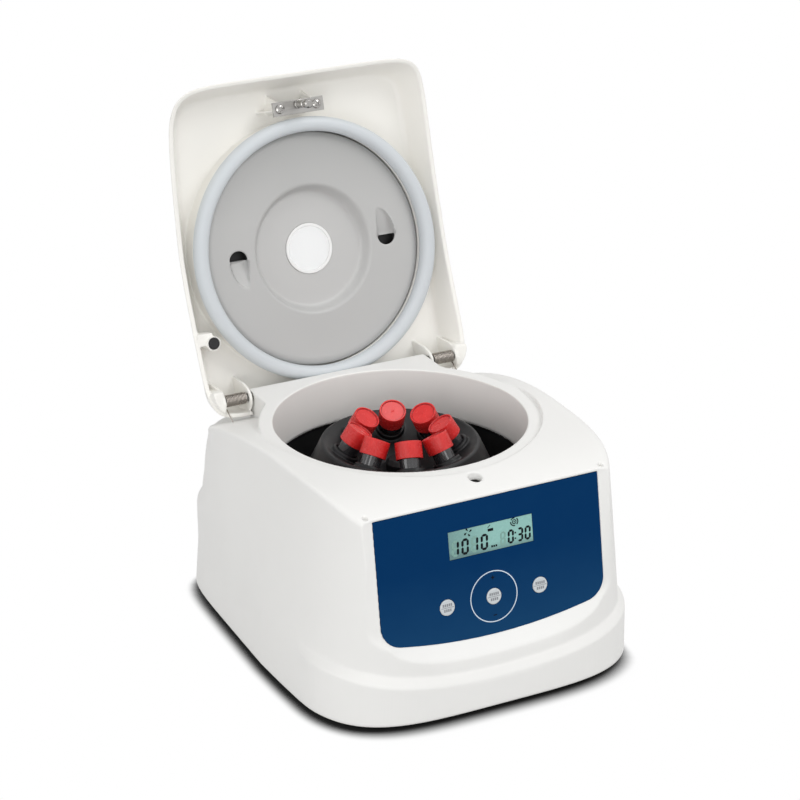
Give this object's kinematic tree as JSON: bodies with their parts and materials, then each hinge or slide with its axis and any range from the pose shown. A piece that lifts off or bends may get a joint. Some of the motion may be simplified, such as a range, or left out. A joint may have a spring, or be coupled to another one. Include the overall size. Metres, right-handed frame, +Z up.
{
  "type": "laboratory centrifuge",
  "caption": "Bench centrifuge with a sprung hinged lid, latch, angle rotor holding capped sample tubes in a black bowl, and a blue front panel with a display and round keys.",
  "frame": {"origin": "centre of the outline's bounding box on the floor, lid open", "axes": "+Z up along the rotor axis, -Y out of the front panel, +X to the right seen from the front"},
  "size_m": [0.286, 0.381, 0.4218],
  "materials": {
    "housing_white": "fine-grained off-white moulded plastic",
    "lid_ivory": "smooth ivory moulded plastic",
    "liner_grey": "satin grey plate",
    "gasket_grey": "pale grey silicone rubber",
    "panel_blue": "satin navy-blue overlay",
    "screen_green": "grey-green display glass",
    "key_grey": "pale grey keys",
    "rotor_black": "satin black",
    "bowl_black": "matt black",
    "rubber_black": "black rubber",
    "steel": "plain steel",
    "cap_red": "red moulded plastic",
    "tube_clear": "clear plastic",
    "window_clear": "clear plastic",
    "board_green": "green circuit board",
    "black_plastic": "black plastic"
  },
  "bodies": {
    "base": {"main_housing": "housing_white", "base_pan": "steel", "motor_plate": "steel", "motor_can": "steel", "shaft_bearing": "steel", "latch_bracket": "steel", "hinge_pin_left": "steel", "hinge_pin_right": "steel", "hinge_spring_left": "steel", "hinge_spring_right": "steel", "foot_1": "rubber_black", "foot_2": "rubber_black", "foot_3": "rubber_black", "foot_4": "rubber_black", "shaft_boot": "rubber_black", "motor_damper_1": "rubber_black", "motor_damper_2": "rubber_black", "motor_damper_3": "rubber_black", "chamber_bowl": "bowl_black", "front_panel": "panel_blue", "lcd_module": "screen_green", "control_board": "board_green", "power_board": "board_green", "latch_solenoid": "black_plastic", "lid_switch": "black_plastic", "power_inlet": "black_plastic"},
    "rotor": {"rotor_body": "rotor_black", "rotor_shaft": "steel", "rotor_nut": "rotor_black", "tube_1": "tube_clear", "tube_2": "tube_clear", "tube_3": "tube_clear", "tube_4": "tube_clear", "tube_5": "tube_clear", "tube_6": "tube_clear", "tube_7": "tube_clear", "tube_8": "tube_clear", "cap_1": "cap_red", "cap_2": "cap_red", "cap_3": "cap_red", "cap_4": "cap_red", "cap_5": "cap_red", "cap_6": "cap_red", "cap_7": "cap_red", "cap_8": "cap_red"},
    "lid": {"lid_shell": "lid_ivory", "lid_liner": "liner_grey", "lid_gasket": "gasket_grey", "lid_window": "window_clear", "striker_plate": "steel", "striker_pin": "steel", "striker_screw_left": "steel", "striker_screw_right": "steel", "lid_bumper": "rubber_black"},
    "key_left": {"button_left": "key_grey"},
    "key_centre": {"button_centre": "key_grey"},
    "key_right": {"button_right": "key_grey"},
    "latch": {"latch_slider": "steel"},
    "rocker": {"power_rocker": "black_plastic"}
  },
  "joints": [
    {"name": "lid_hinge", "type": "hinge", "parent": "base", "child": "lid", "pos_m": [0, 0.0972, 0.1762], "axis": [1, 0, 0], "range_deg": [0, 106.5], "stiffness_Nm_per_rad": 0.25, "deforming": ["hinge_spring_left", "hinge_spring_right"]},
    {"name": "rotor_spin", "type": "hinge", "parent": "base", "child": "rotor", "pos_m": [0, -0.0117, 0.1], "axis": [0, 0, 1], "continuous": true},
    {"name": "key_left_press", "type": "slide", "parent": "base", "child": "key_left", "axis": [0, 0.9866, -0.1633], "range_m": [0, 0.0007], "stiffness_N_per_m": 800},
    {"name": "key_centre_press", "type": "slide", "parent": "base", "child": "key_centre", "axis": [0, 0.9866, -0.1633], "range_m": [0, 0.0007], "stiffness_N_per_m": 800},
    {"name": "key_right_press", "type": "slide", "parent": "base", "child": "key_right", "axis": [0, 0.9866, -0.1633], "range_m": [0, 0.0007], "stiffness_N_per_m": 800},
    {"name": "latch_slide", "type": "slide", "parent": "base", "child": "latch", "axis": [1, 0, 0], "range_m": [0, 0.0026], "stiffness_N_per_m": 300},
    {"name": "power_rocker_tip", "type": "hinge", "parent": "base", "child": "rocker", "pos_m": [-0.055, 0.1283, 0.048], "axis": [1, 0, 0], "range_deg": [0, 10]}
  ]
}
